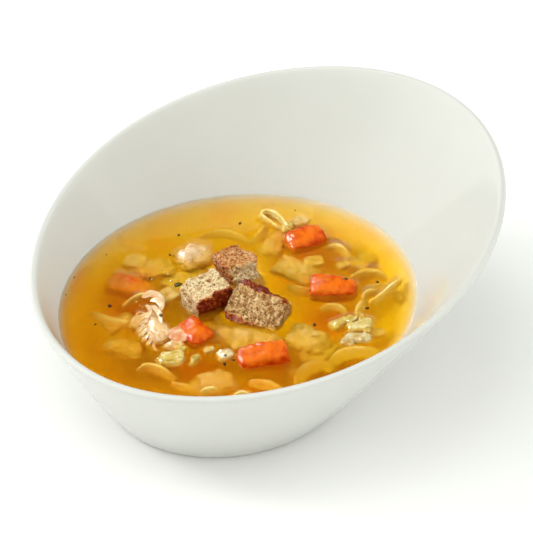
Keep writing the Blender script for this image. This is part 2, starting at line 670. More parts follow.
def ribbon_cage(route, width, thick, lean=(90.0, 90.0), ends=0.6, steps=3):
    """A flat strip along a route, leaning from flat (0) to upright (90 degrees)."""
    run = curve_through([in_bowl(*spot) for spot in route], steps)
    count = len(run) - 1
    bm = bmesh.new()
    bmesh.ops.create_cube(bm, size=1.0)
    lengthwise = [edge for edge in bm.edges
                  if abs(edge.verts[0].co.x - edge.verts[1].co.x) > 0.5]
    bmesh.ops.subdivide_edges(bm, edges=lengthwise, cuts=count - 1, use_grid_fill=True)
    for vert in bm.verts:
        index = min(int(round((vert.co.x + 0.5) * count)), count)
        ahead = (run[min(index + 1, count)] - run[max(index - 1, 0)]).normalized()
        side = Vector((0.0, 0.0, 1.0)).cross(ahead).normalized()
        share = index / count
        angle = math.radians(lean[0] + (lean[1] - lean[0]) * share)
        across = side * math.cos(angle) + ahead.cross(side) * math.sin(angle)
        blunt = ends + (1.0 - ends) * min(1.0, 4.0 * min(share, 1.0 - share))
        vert.co = (run[index] + across * vert.co.y * width * MM * blunt
                   + ahead.cross(across) * vert.co.z * thick * MM * blunt)
    return bm


def joined(meshes):
    """Several bmeshes as one. Their attributes have the same names."""
    result = bmesh.new()
    for bm in meshes:
        mesh = bpy.data.meshes.new("part")
        bm.to_mesh(mesh)
        bm.free()
        result.from_mesh(mesh)
        bpy.data.meshes.remove(mesh)
    return result


# %% [markdown]
# ## The wet look, shared by all the simmered food
#
# Everything that has simmered is wet, so the same few nodes finish each of them. Light goes a
# millimetre or two into soft food, which subsurface scattering gives. The film of broth is a
# thin coat with a tighter highlight than the food under it, and its own fine bump, because a
# film lies in small lenses over a rough surface. The film's lenses catch a lamp as sparkles.

# %% The wet finish
LENS_SIZE, LENS_HEIGHT = 1.7, 0.42   # the film's lenses, in millimetres


def wet_food(tree, grain, colour, height, relief, radius, soft, film, soak, per_mm=HAZE_PER_MM):
    """Finish a food: its colour under the broth, a bump from a height, and a film of broth.

    relief is the bump's height and radius how far red, green and blue light goes in, in
    millimetres. soft is the share of light that goes in, and film the share that is wet.
    """
    lens = add(tree, "TexNoise", {"Vector": grain, "Scale": 1 / LENS_SIZE,
                                  "Detail": 2.0}).outputs["Fac"]
    body = add(tree, "Bump", {"Height": height, "Distance": relief * MM, "Strength": 0.8})
    film_bump = add(tree, "Bump", {"Height": lens, "Distance": LENS_HEIGHT * MM,
                                   "Strength": 0.8})
    shader = add(tree, "BsdfPrincipled", {
        "Base Color": under_broth(tree, colour, 0.95, soak, per_mm=per_mm),
        "Roughness": 0.4, "IOR": 1.4,
        "Specular IOR Level": 0.05, "Normal": body.outputs[0],
        "Subsurface Weight": soft, "Subsurface Radius": [reach * MM for reach in radius],
        "Coat Weight": film, "Coat Roughness": 0.06, "Coat IOR": 1.45,
        "Coat Normal": film_bump.outputs[0]})
    finish_surface(tree, shader.outputs[0])


# %% [markdown]
# ## Carrot
#
# The carrot is diced and simmered until soft: its corners have worn round. Boiled carrot is
# strongly coloured but lets red light in further than green, so its edges glow. Broad noise
# parts the yellower flesh from the redder, the cut top is lighter than the sunk sides, and
# cells of about half a millimetre break the colour up, as the plant's own cells do.

# %% Diced carrot
CARROT_CREASE = 0.22
CARROT_SWELL = 0.50                                       # in millimetres
CARROT_LUMPS = ((0.75, 5.0), (0.34, 1.9), (0.12, 0.9))    # height and size, in millimetres


def carrot_material():
    finish, tree = new_material("boiled_carrot")
    grain = add(tree, "Attribute", attribute_name="grain").outputs["Vector"]
    tilted = add(tree, "Mapping", {"Vector": grain, "Rotation": (0.6, 0.9, 0.4)}).outputs[0]
    broad = add(tree, "TexNoise", {"Vector": tilted, "Scale": 1 / 3.7, "Detail": 5.0})
    upward = add(tree, "SeparateXYZ", {0: grain}).outputs["Z"]
    tone = add(tree, "Math", {0: upward, 1: 0.05, 2: broad.outputs["Fac"]},
               operation="MULTIPLY_ADD")
    flesh = ramp(tree, tone.outputs[0], [(0.34, "#AC2A02"), (0.56, "#D24402"), (0.82, "#EC7210")])
    cells = add(tree, "TexVoronoi", {"Vector": grain, "Scale": 1 / 0.7}).outputs["Distance"]
    cell = add(tree, "MapRange", {"Value": cells, "From Max": 0.5, "To Min": 0.14,
                                  "To Max": 0.0}).outputs[0]
    flesh = blend(tree, cell, flesh, "#FF9C1C")
    wet_food(tree, grain, flesh, broad.outputs["Fac"], 0.3, (2.4, 0.7, 0.2), 0.25, 0.17, 0.5)
    return finish


CARROT = carrot_material()
for index, node in enumerate(CARROTS):
    bm = lay_grain(rounded(cage_of(node), 3, CARROT_CREASE), TURNS[node], middle_of(node))
    push(bm, lambda spot: CARROT_SWELL + lumps(spot, CARROT_LUMPS, 3.0 + index))
    show("diced_" + node, bm, CARROT, "carrot", [node])

# %% [markdown]
# ## Chicken
#
# Cooked breast meat splits along its fibres. They show as fine parallel ridges that part and
# rejoin, about a millimetre apart, and torn edges end in loose strands. The ridges are noise
# stretched along the fibre axis, used twice: to move the surface, and to shade the grooves a
# little browner. Broad patches are pinker, where the meat is denser.

# %% The look and shape of poached chicken
FIBRE_STRETCH = 7.0
MEAT_LUMPS = ((1.45, 4.6), (0.70, 2.2))     # height and size, in millimetres
FIBRES = ((0.24, 1.4), (0.14, 0.7))         # height and spacing, in millimetres


def along_fibres(spot):
    """The spot drawn together along the fibres, so that noise at it makes ridges."""
    return (spot[0] / FIBRE_STRETCH + 0.15 * spot[1], spot[1], spot[2])


def chicken_material():
    finish, tree = new_material("poached_chicken")
    grain = add(tree, "Attribute", attribute_name="grain").outputs["Vector"]
    drawn = add(tree, "Mapping", {"Vector": grain, "Scale": (1 / FIBRE_STRETCH, 1.0, 1.0)})
    fibre = add(tree, "TexNoise", {"Vector": drawn.outputs[0], "Scale": 1 / 1.1, "Detail": 5.0,
                                   "Roughness": 0.6}).outputs["Fac"]
    meat = ramp(tree, fibre, [(0.28, "#D29E5E"), (0.46, "#E6C088"), (0.68, "#F4DEBA")])
    broad = add(tree, "TexNoise", {"Vector": grain, "Scale": 1 / 4.5, "Detail": 4.0})
    blush = add(tree, "MapRange", {"Value": broad.outputs["Fac"], "From Min": 0.48,
                                   "From Max": 0.72, "To Max": 0.4}).outputs[0]
    meat = blend(tree, blush, meat, "#E2A07C")
    wet_food(tree, grain, meat, fibre, 0.3, (4.0, 2.6, 1.2), 0.5, 0.28, 1.0)
    return finish


CHICKEN = chicken_material()


def torn(bm, turn, centre, seed):
    """Give a smooth piece of meat its fibres and its uneven cut."""
    lay_grain(bm, turn, centre)
    push(bm, lambda spot: (0.05 + lumps(spot, MEAT_LUMPS, seed)
                           + lumps(along_fibres(spot), FIBRES, seed)))
    return bm


for index, node in enumerate(name for name in NODES if name.startswith("chicken")):
    bm = torn(rounded(cage_of(node), 3), TURNS[node], middle_of(node), 2.0 + index)
    show("cut_" + node, bm, CHICKEN, "chicken", [node])

# %% [markdown]
# More strips of chicken lie under the surface: a long one below the toast, one beside the
# carrot at the back, and others deeper down. The pulled piece has loose strands. They are thin
# ribbons, fanned out of its torn side and dipping into the broth, with shreds curled on its top.

# %% Sunk chicken and loose strands
SUNK_CHICKEN = [
    # size, spot, turn, narrowing, dome
    ((33.0, 12.0, 7.0), (-10.5, -33.0, -5.0), (0.0, 0.0, -13.0), 0.25, 3.2),
    ((20.0, 13.0, 6.5), (12.8, 12.8, -4.9), (0.0, 3.0, -33.0), 0.1, 2.6),
    ((19.0, 13.0, 7.0), (-49.5, 15.0, -6.2), (0.0, 0.0, 12.0), 0.2, 3.8),
    ((16.0, 10.0, 7.0), (3.0, 33.0, -6.0), (0.0, 0.0, 62.0), 0.2, 3.2),
    ((20.0, 15.0, 8.0), (-34.0, 8.5, -9.0), (0.0, 0.0, 30.0), 0.1, 4.5),
    ((18.0, 13.0, 8.0), (22.0, -40.0, -9.5), (0.0, 0.0, 10.0), 0.1, 4.5),
    ((14.0, 9.0, 6.0), (-63.0, -22.0, -6.0), (0.0, 0.0, 30.0), 0.2, 3.8),
    ((17.0, 10.0, 7.0), (-60.0, -37.0, -8.5), (0.0, 0.0, -20.0), 0.2, 3.8),
    ((15.0, 10.0, 6.0), (-24.0, -62.0, -8.0), (0.0, 0.0, 15.0), 0.2, 3.8),
    ((14.0, 10.0, 6.0), (40.0, 22.0, -9.0), (0.0, 0.0, 50.0), 0.2, 3.8),
]
chicken = []
for index, (size, spot, turn, narrow, dome) in enumerate(SUNK_CHICKEN):
    cage = block_cage(size, spot, turn, narrow, dome, 1.2, 5.0 + index)
    chicken.append(torn(rounded(cage, 3), turn, in_bowl(*spot), 11.0 + index))
show("sunk_chicken", joined(chicken), CHICKEN, "chicken")

STRANDS = [
    # route from the torn side outwards, width
    ([(-51.0, -21.0, 0.0), (-52.9, -20.1, 0.2), (-54.7, -20.4, 0.1), (-55.8, -21.5, -0.3)], 1.3),
    ([(-50.0, -24.0, 0.8), (-52.5, -24.4, 0.4), (-54.7, -26.1, -0.6)], 1.7),
    ([(-49.6, -25.2, 1.1), (-51.6, -25.5, 0.7), (-53.4, -26.9, 0.0)], 1.5),
    ([(-50.0, -26.0, 1.0), (-52.7, -26.9, 0.5), (-55.1, -29.3, -0.6)], 2.2),
    ([(-49.6, -27.2, 1.3), (-51.8, -27.9, 0.9), (-53.7, -29.9, 0.0)], 1.8),
    ([(-51.0, -29.0, 0.9), (-53.2, -30.2, 0.4), (-55.2, -33.0, -0.7)], 2.0),
    ([(-50.6, -30.2, 1.2), (-52.4, -31.2, 0.8), (-54.0, -33.4, -0.1)], 1.6),
    ([(-50.6, -31.5, 0.8), (-52.6, -33.3, 0.4), (-53.9, -36.0, -0.7)], 2.3),
    ([(-50.2, -32.7, 1.1), (-51.8, -34.2, 0.7), (-52.9, -36.3, -0.1)], 2.0),
    ([(-49.6, -34.0, 0.6), (-51.3, -36.1, 0.2), (-52.5, -39.0, -0.8)], 2.0),
    ([(-49.2, -35.2, 0.9), (-50.6, -36.9, 0.6), (-51.5, -39.2, -0.2)], 1.6),
    ([(-48.4, -36.5, 0.4), (-49.6, -38.7, 0.0), (-50.3, -41.3, -0.8)], 2.1),
    ([(-48.0, -37.7, 0.7), (-49.0, -39.4, 0.4), (-49.5, -41.6, -0.3)], 1.7),
    ([(-47.0, -38.0, 0.1), (-47.6, -40.5, -0.1), (-47.4, -43.0, -0.6), (-45.8, -44.6, -1.2)], 1.3),
]
SHREDS = [
    # route of a curled shred, width
    ([(-53.5, -10.5, 0.6), (-49.5, -9.2, 1.8), (-45.8, -12.0, 1.6), (-44.0, -16.5, 0.4)], 3.0),
    ([(-50.0, -13.0, 0.8), (-47.0, -13.8, 2.0), (-44.8, -18.0, 1.4), (-46.5, -22.5, 1.2)], 2.6),
    ([(-49.5, -16.5, 1.0), (-47.8, -19.5, 2.2), (-45.6, -24.0, 2.3), (-44.6, -28.5, 1.2)], 2.2),
    ([(-52.0, -15.0, 0.2), (-50.2, -18.5, 1.6), (-49.6, -22.5, 2.0), (-50.4, -26.5, 1.8)], 1.8),
]
STRAND_SPREAD, STRAND_THICK = 1.2, 0.7    # a factor, and millimetres
loose = []
for index, (route, width) in enumerate(STRANDS + SHREDS):
    cage = ribbon_cage(route, STRAND_SPREAD * width, STRAND_THICK, (20, 45), 0.4, 4)
    loose.append(lay_grain(rounded(cage, 2), (0, 0, 40), in_bowl(*route[1])))
show("loose_strands", joined(loose), CHICKEN, "chicken")

# %% [markdown]
# ## Egg noodles
#
# The noodles are short flat ribbons of egg dough, swollen from boiling, with rounded edges.
# Most stand on edge, so what shows is a pale line where the edge breaks the surface, and a
# golden wall that fades under it. A crease keeps the ribbon from rounding into a tube.

# %% The look and shape of boiled noodles
NOODLE_HAZE_PER_MM = 0.54                     # more than other food, so that walls fade sooner
NOODLE_CREASE = 0.45
NOODLE_LUMPS = ((0.22, 4.0), (0.07, 1.2))     # height and size, in millimetres
NOODLE_THICK = 1.6


def noodle_material():
    finish, tree = new_material("boiled_egg_noodle")
    grain = add(tree, "Attribute", attribute_name="grain").outputs["Vector"]
    cloud = add(tree, "TexNoise", {"Vector": grain, "Scale": 1 / 3.0, "Detail": 4.0}).outputs["Fac"]
    dough = ramp(tree, cloud, [(0.3, "#EEC860"), (0.5, "#F8DC82"), (0.7, "#FEF0BE")])
    wet_food(tree, grain, dough, cloud, 0.12, (3.0, 2.4, 1.2), 0.5, 0.32, 0.4, NOODLE_HAZE_PER_MM)
    return finish


NOODLE = noodle_material()
UNTURNED = (0, 0, 0)


def boiled(bm, centre, seed):
    """Swell a ribbon unevenly."""
    lay_grain(bm, UNTURNED, centre)
    push(bm, lambda spot: lumps(spot, NOODLE_LUMPS, seed) - 0.10)
    return bm


for index, node in enumerate(name for name in NODES if name.startswith("noodle")):
    bm = boiled(rounded(cage_of(node), 3, NOODLE_CREASE), middle_of(node), 1.0 + index)
    show("boiled_" + node, bm, NOODLE, "egg_noodle", [node])

# %% [markdown]
# Most noodles of a bowl lie under the surface, and show as soft golden curls. Each is a ribbon
# along its own short route, two to seven millimetres down, leaning between flat and upright.

# %% Sunk noodles
SUNK_NOODLES = [
    # route, width, lean at its ends
    ([(34.0, 3.0, -5.0), (38.0, 7.5, -3.6), (43.0, 9.6, -3.2), (48.0, 8.8, -3.8),
      (51.0, 6.0, -5.0)], 5.5, (60, 75)),
    ([(38.5, -22.0, -4.0), (38.2, -18.0, -3.0), (39.8, -13.0, -2.8), (42.0, -9.5, -4.0)], 5.0,
     (45, 60)),
    ([(-30.0, 36.0, -5.0), (-22.0, 38.5, -3.8), (-14.0, 36.5, -4.0), (-8.0, 31.5, -5.0)], 5.5,
     (60, 60)),
    ([(22.0, -16.0, -3.6), (26.0, -14.0, -2.8), (30.5, -15.0, -3.0), (33.0, -18.5, -4.2)], 4.6,
     (50, 60)),
    ([(-75.0, -17.0, -4.6), (-68.0, -23.0, -3.4), (-61.0, -25.5, -3.4), (-55.0, -24.5, -4.6)],
     5.5, (45, 60)),
    ([(-8.0, -62.5, -5.0), (-1.0, -64.5, -4.0), (6.0, -68.0, -4.6)], 6.0, (40, 55)),
    ([(-7.0, 32.0, -5.6), (-2.5, 38.0, -4.2), (-1.0, 43.0, -3.4)], 5.5, (40, 60)),
    ([(8.0, 3.0, -7.0), (13.0, -1.0, -5.0), (18.5, -2.0, -5.0), (23.0, 0.0, -7.0)], 5.5, (60, 60)),
    ([(31.5, 17.0, -4.6), (34.0, 14.4, -3.2), (37.5, 13.6, -4.4)], 5.0, (60, 60)),
    ([(40.0, -2.0, -6.0), (46.0, 1.0, -5.0), (53.0, -2.0, -5.2), (57.0, -8.0, -6.0)], 5.5, (50, 60)),
    ([(-66.0, 2.0, -6.0), (-60.0, -2.0, -5.0), (-54.0, -2.0, -5.4)], 5.5, (50, 60)),
    ([(-52.0, -51.0, -5.4), (-45.0, -54.0, -4.6), (-37.0, -53.0, -5.4)], 5.0, (50, 60)),
    ([(-40.0, -62.0, -6.4), (-33.0, -66.0, -5.0), (-25.0, -69.5, -5.6)], 5.0, (50, 60)),
    ([(2.0, -50.0, -7.4), (9.0, -53.0, -6.4), (14.0, -58.0, -7.0)], 5.5, (50, 60)),
    ([(24.0, 34.0, -6.4), (31.0, 33.0, -5.4), (36.0, 28.0, -6.4)], 5.5, (50, 60)),
    ([(-30.0, -14.0, -6.4), (-24.0, -18.0, -5.4), (-20.0, -24.0, -6.4)], 5.5, (50, 60)),
]
noodles = []
for index, (route, width, lean) in enumerate(SUNK_NOODLES):
    cage = ribbon_cage(route, width, NOODLE_THICK, lean)
    noodles.append(boiled(rounded(cage, 2, NOODLE_CREASE), in_bowl(*route[1]), 21.0 + index))
show("sunk_noodles", joined(noodles), NOODLE, "egg_noodle")

# %% [markdown]
# ## Celery and onion
#
# Both are cooked until glassy. Celery keeps a yellow-green tint and its lengthwise ribs, onion
# is nearly colourless with faint layers. Glassy means that light goes in and comes out
# elsewhere, so both get a strong subsurface share, a wet coat, and bands of colour across the
# ribs.

# %% The look and shape of the greens
def green_material(name, hollow, body, light):
    finish, tree = new_material(name)
    grain = add(tree, "Attribute", attribute_name="grain").outputs["Vector"]
    drawn = add(tree, "Mapping", {"Vector": grain, "Scale": (0.25, 1.0, 1.0)}).outputs[0]
    ribs = add(tree, "TexNoise", {"Vector": drawn, "Scale": 1 / 1.2, "Detail": 4.0}).outputs["Fac"]
    colour = ramp(tree, ribs, [(0.30, hollow), (0.48, body), (0.66, light)])
    wet_food(tree, grain, colour, ribs, 0.15, (3.0, 2.8, 1.2), 0.7, 0.6, 0.6)
    return finish


CELERY = green_material("boiled_celery", "#B89434", "#D8BA5A", "#F2E4B0")
ONION = green_material("boiled_onion", "#C29A50", "#DDC487", "#F4ECCB")
ONION_SKIN = green_material("thin_onion_layer", "#D07C44", "#E4A272", "#F2CFAC")
GREEN_LUMPS = ((0.60, 3.0), (0.18, 1.2))      # height and size, in millimetres
RIBS = ((0.14, 1.1),)


def glassy(bm, turn, centre, seed):
    """Raise ribs along a smooth piece, and wear its surface uneven."""
    lay_grain(bm, turn, centre)
    push(bm, lambda spot: (0.20 + lumps(spot, GREEN_LUMPS, seed)
                           + lumps((0.15 * spot[0], spot[1], spot[2]), RIBS, seed)))
    return bm


for index, node in enumerate(name for name in NODES if name.startswith(("celery", "onion"))):
    kind = node.split("_")[0]
    bm = glassy(rounded(cage_of(node), 3), TURNS[node], middle_of(node), 6.0 + index)
    show("diced_" + node, bm, CELERY if kind == "celery" else ONION, kind, [node])

# %% [markdown]
# Smaller bits of both lie around these, some just under the surface and some deeper. Ribbed
# slices of celery stand on edge beside the big dice, and a thin onion layer has slid over a
# carrot.

# %% Sunk and small greens
MORE_CELERY = [
    ((9.0, 10.0, 5.0), (-57.5, 18.5, -4.6), (0.0, 0.0, 75.0), 0.1, 0.8),
    ((8.0, 7.0, 4.5), (19.8, 17.7, -4.2), (0.0, 0.0, 20.0), 0.1, 0.6),
    ((7.0, 5.0, 4.0), (-12.0, -39.0, -4.5), (0.0, 0.0, 20.0), 0.1, 0.5),
    ((6.0, 3.4, 3.6), (-42.8, -50.4, -1.3), (0.0, 12.0, 35.0), 0.2, 0.3),
    ((4.6, 3.2, 3.4), (-36.5, -43.2, -0.9), (10.0, 0.0, -20.0), 0.2, 0.3),
    ((5.6, 4.0, 3.6), (34.6, -24.6, -1.0), (0.0, 8.0, 60.0), 0.2, 0.3),
    ((4.6, 3.6, 3.4), (39.4, -25.0, -1.1), (6.0, 0.0, 80.0), 0.2, 0.3),
    ((5.4, 3.0, 3.4), (41.0, -30.6, -1.3), (0.0, 0.0, 110.0), 0.2, 0.3),
    ((5.0, 3.8, 3.2), (32.6, 14.6, -2.6), (0.0, 0.0, 30.0), 0.2, 0.4),
    ((6.0, 4.0, 4.0), (8.2, 40.2, -1.8), (0.0, 0.0, 35.0), 0.2, 0.4),
]
MORE_ONION = [
    ((10.5, 9.0, 3.4), (-43.4, -6.6, -2.8), (0.0, 0.0, 40.0), 0.2, 0.6),
    ((8.0, 5.0, 3.0), (45.0, -31.0, -4.0), (0.0, 0.0, 10.0), 0.2, 0.6),
    ((5.4, 3.2, 2.6), (33.2, -39.6, -0.6), (8.0, 10.0, -12.0), 0.3, 0.2),
    ((5.0, 2.8, 2.6), (40.4, -37.0, -0.5), (-6.0, 4.0, 20.0), 0.3, 0.2),
    ((4.0, 2.8, 2.4), (-24.6, -44.0, -1.0), (0.0, 0.0, 20.0), 0.3, 0.2),
    ((4.6, 3.0, 2.6), (19.0, -33.0, -2.6), (0.0, 0.0, 20.0), 0.3, 0.2),
]
for name, pieces, finish, slot in (("more_celery", MORE_CELERY, CELERY, "celery"),
                                   ("more_onion", MORE_ONION, ONION, "onion")):
    parts = [glassy(rounded(block_cage(size, spot, turn, narrow, dome, 0.6, 3.0 + index), 2),
                    turn, in_bowl(*spot), 17.0 + index)
             for index, (size, spot, turn, narrow, dome) in enumerate(pieces)]
    show(name, joined(parts), finish, slot)
turn, spot = (16.0, -14.0, 24.0), (-36.4, -35.6, 1.3)
skin = rounded(block_cage((9.5, 7.5, 1.2), spot, turn, 0.1, 0.5, 0.9, 6.0), 3)
show("onion_layer", glassy(skin, turn, in_bowl(*spot), 29.0), ONION_SKIN, "onion")

# %% [markdown]
# ## Pepper, herbs and bubbles
#
# Cracked pepper and dried parsley float where the surface film holds them. They are small
# uneven chips, half in and half out of the broth, each a distorted icosphere of eighty faces.
# Tiny bubbles cling to the food. A bubble is a thin film, so it is mostly clear, with one
# sharp highlight.

# %% Flecks of pepper and parsley
PEPPER_HEIGHT = 0.15             # of the middle over the broth, in millimetres
PEPPER_SHAPE = (1.5, 1.1, 0.8)   # along, across and up, for a size of 1
PEPPER = [
    # spot, and size in millimetres
    ((-39.0, 34.0), 1.0), ((-42.4, 19.6), 0.9), ((-41.0, 19.0), 0.7), ((-50.6, 3.2), 0.9),
    ((-67.0, -15.6), 1.3), ((-72.4, -28.0), 0.8), ((-18.0, -54.0), 1.3), ((-14.2, -51.6), 0.9),
    ((-12.4, 42.4), 1.0), ((46.6, 0.6), 1.1), ((41.8, -17.2), 1.2), ((19.4, -28.4), 1.2),
    ((-83.0, 4.0), 0.6), ((-86.0, -8.0), 0.5), ((-70.0, 20.0), 0.5), ((12.0, 52.0), 0.5),
]
HERBS = [
    # spot above the level, size along, across and up
    ((-38.4, -1.2, 0.2), (4.2, 2.8, 0.8)), ((-45.0, -25.6, 3.1), (2.0, 1.5, 0.5)),
    ((33.0, -0.8, 3.2), (1.9, 1.4, 0.5)), ((-17.6, -49.6, 1.3), (1.5, 1.1, 0.4)),
]


def chip(spot, size, seed):
    """A small uneven chip."""
    bm = bmesh.new()
    bmesh.ops.create_icosphere(bm, subdivisions=2, radius=0.5)
    for vert in bm.verts:
        point = vert.co * (1.0 + 0.5 * noise.noise(vert.co * 2.5 + Vector((seed, 0.0, seed))))
        point = Vector([point[axis] * size[axis] for axis in range(3)])
        vert.co = axes((0, 0, 67.0 * seed)) @ point * MM + in_bowl(*spot)
    return bm


def herb_material(name, dark, light):
    finish, tree = new_material(name)
    mm = place_in_mm(tree)
    grit = add(tree, "TexNoise", {"Vector": mm, "Scale": 1 / 0.5, "Detail": 3.0}).outputs["Fac"]
    shader = add(tree, "BsdfPrincipled", {
        "Base Color": ramp(tree, grit, [(0.35, dark), (0.65, light)]), "Roughness": 0.55,
        "Specular IOR Level": 0.06})
    finish_surface(tree, shader.outputs[0])
    return finish


PEPPERCORN = herb_material("cracked_black_pepper", "#241407", "#5E3E1A")
PARSLEY = herb_material("dried_parsley", "#3A320C", "#706620")
chips = [chip((*spot, PEPPER_HEIGHT), [size * share for share in PEPPER_SHAPE], 1.0 + index)
         for index, (spot, size) in enumerate(PEPPER)]
show("cracked_pepper", joined(chips), PEPPERCORN)
leaves = [chip(spot, size, 41.0 + index) for index, (spot, size) in enumerate(HERBS)]
show("parsley_flakes", joined(leaves), PARSLEY)

# %% [markdown]
# Bubbles gather in loose patches: each patch has a middle and a reach, and each bubble's place
# is drawn from a bell curve round the middle, so that most lie near it.

# %% Bubbles
BUBBLE_RADII = (0.22, 0.50)      # in millimetres
BUBBLE_HEIGHT = 0.25             # of the middle over the broth
GATHERED = 0.4                   # the bell curve's width, as a share of the reach
FOAM = [
    # middle of a patch of bubbles, its reach, and how many bubbles
    ((-36.0, 24.0), 9.0, 9), ((-44.0, 4.0), 10.0, 8), ((-37.0, -45.5), 5.0, 10),
    ((-52.0, -19.0), 8.0, 6), ((37.0, -24.0), 8.0, 9), ((-22.0, -44.0), 8.0, 7),
    ((4.0, -30.0), 14.0, 6), ((-13.0, 20.0), 8.0, 5),
]


def bubble_material():
    finish, tree = new_material("bubble_of_broth")
    mm = place_in_mm(tree)
    film = add(tree, "TexNoise", {"Vector": mm, "Scale": 1 / 1.5}).outputs["Fac"]
    shader = add(tree, "BsdfPrincipled", {
        "Base Color": ramp(tree, film, [(0.3, "#F6DFA0"), (0.7, "#FFF4D2")]),
        "Roughness": 0.05, "IOR": 1.33, "Transmission Weight": 0.8})
    finish_surface(tree, shader.outputs[0])
    return finish


random.seed(5)
bubbles = []
for (x, y), reach, count in FOAM:
    for _bubble in range(count):
        bm = bmesh.new()
        radius = random.uniform(*BUBBLE_RADII)
        bmesh.ops.create_icosphere(bm, subdivisions=2, radius=radius * MM)
        spot = (random.gauss(x, GATHERED * reach), random.gauss(y, GATHERED * reach),
                BUBBLE_HEIGHT)
        bmesh.ops.translate(bm, verts=bm.verts[:], vec=in_bowl(*spot))
        bubbles.append(bm)
show("bubbles", joined(bubbles), bubble_material())

# %% [markdown]
# ## The broth
#
# The broth is one closed body: a fine skin on top, and sides that reach a little into the
# porcelain, so that no gap of air shows between them. Its skin isn't flat. It climbs the wall
# and every piece that breaks it, and it bulges over what lies just under it. Those small slopes
# catch the light as the bright rims that make a liquid look wet. A radial line is spun into
# rings, and each ring is stretched to the bowl's inner wall, which is found by casting rays.

# %% The shape of the broth
SPOKES, SKIN_RINGS = 420, 150         # the broth's sizes below are in millimetres
WALL_HEIGHTS = (36.0, 32.0, 28.0, 24.0, 19.0, 15.0, 11.5, 8.8, 7.2, 6.3)   # down the inner wall
BROTH_FLOOR = 5.4                     # just inside the porcelain of the floor
INTO_WALL = 0.4                       # how far the sides reach into the porcelain
CLIMB_AT_WALL, CLIMB_AT_FOOD = 0.45, 0.7
CLIMB_WIDTH = 1.3
OUTWARD = 0.9                         # below 1 spaces the inner rings wider
BROTH_LOW, BROTH_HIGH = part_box("broth")
AXIS = Vector((0.0, 0.5 * (BROTH_LOW.y + BROTH_HIGH.y), 0.0))


def wall_distance(angle, height):
    """How far the inner wall is from the axis, in metres."""
    out = Vector((math.cos(angle), math.sin(angle), 0.0))
    start = AXIS + Vector((0.0, 0.0, height))
    return BOWL_TREE.ray_cast(start, out)[3]


def food_tree():
    """One search tree over all the food."""
    verts, faces = [], []
    for piece in bpy.context.scene.objects:
        if piece.type == "MESH" and "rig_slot" in piece and piece != BOWL:
            offset = len(verts)
            verts += [vert.co for vert in piece.data.vertices]
            faces += [[offset + corner for corner in face.vertices]
                      for face in piece.data.polygons]
    return BVHTree.FromPolygons(verts, faces)


def make_broth():
    bm = bmesh.new()
    line = [bm.verts.new((0.0, 0.0, LEVEL))]
    for step in range(1, SKIN_RINGS + 1):
        share = math.sin(0.5 * math.pi * step / SKIN_RINGS) ** OUTWARD
        line.append(bm.verts.new((share, 0.0, LEVEL)))
    for height in WALL_HEIGHTS:
        line.append(bm.verts.new((1.0, 0.0, height * MM)))
    line.append(bm.verts.new((0.0, 0.0, BROTH_FLOOR * MM)))
    edges = [bm.edges.new(pair) for pair in zip(line, line[1:])]
    bmesh.ops.spin(bm, geom=line + edges, cent=(0, 0, 0), axis=(0, 0, 1), dvec=(0, 0, 0),
                   angle=2.0 * math.pi, steps=SPOKES, use_merge=True, use_duplicate=False)
    bmesh.ops.remove_doubles(bm, verts=bm.verts[:], dist=SAME)
    bmesh.ops.recalc_face_normals(bm, faces=bm.faces[:])
    food = food_tree()
    walls = {}
    for vert in bm.verts:
        share = math.hypot(vert.co.x, vert.co.y)
        angle = math.atan2(vert.co.y, vert.co.x)
        on_top = vert.co.z > LEVEL - SAME
        height = vert.co.z + (CLIMB_AT_WALL * MM if on_top else 0.0)
        key = (round(angle, 4), round(height, 6))
        if key not in walls:
            walls[key] = wall_distance(angle, height)
        reach = share * (walls[key] + INTO_WALL * MM)
        spot = AXIS + Vector((math.cos(angle), math.sin(angle), 0.0)) * reach
        spot.z = vert.co.z
        if on_top:
            to_wall = (walls[key] - reach) / MM
            to_food = food.find_nearest(spot)[3] / MM
            climb = CLIMB_AT_WALL * math.exp(-max(to_wall, 0.0) / CLIMB_WIDTH)
            climb = max(climb, CLIMB_AT_FOOD * math.exp(-to_food / CLIMB_WIDTH))
            spot.z += climb * MM
        vert.co = spot
    return bm


# %% [markdown]
# Light that meets the broth is bent by an index of 1.33, like water, and tinted as it travels:
# Volume Absorption takes most of the blue, some of the green and little of the red for every
# millimetre, which makes thin broth at the rim pale and deep broth amber. Real glass-like
# surfaces block lamps in Cycles unless they are seen by chance, so a Light Path node swaps the
# surface for a clear one on shadow rays. The absorption still tints that light. Cloudy broth
# also blurs what lies in it, and more so the deeper it lies. A rough transmission does just
# that, and a smooth coat over it keeps the surface itself glossy. Drops of fat float on top as
# faint rounds, which roughen the inside a little more.

# %% The look of the broth
KEPT_PER_DEPTH = (0.99, 0.92, 0.25, 1.0)      # how much red, green and blue it lets through
STRENGTH = 32.0                               # per metre


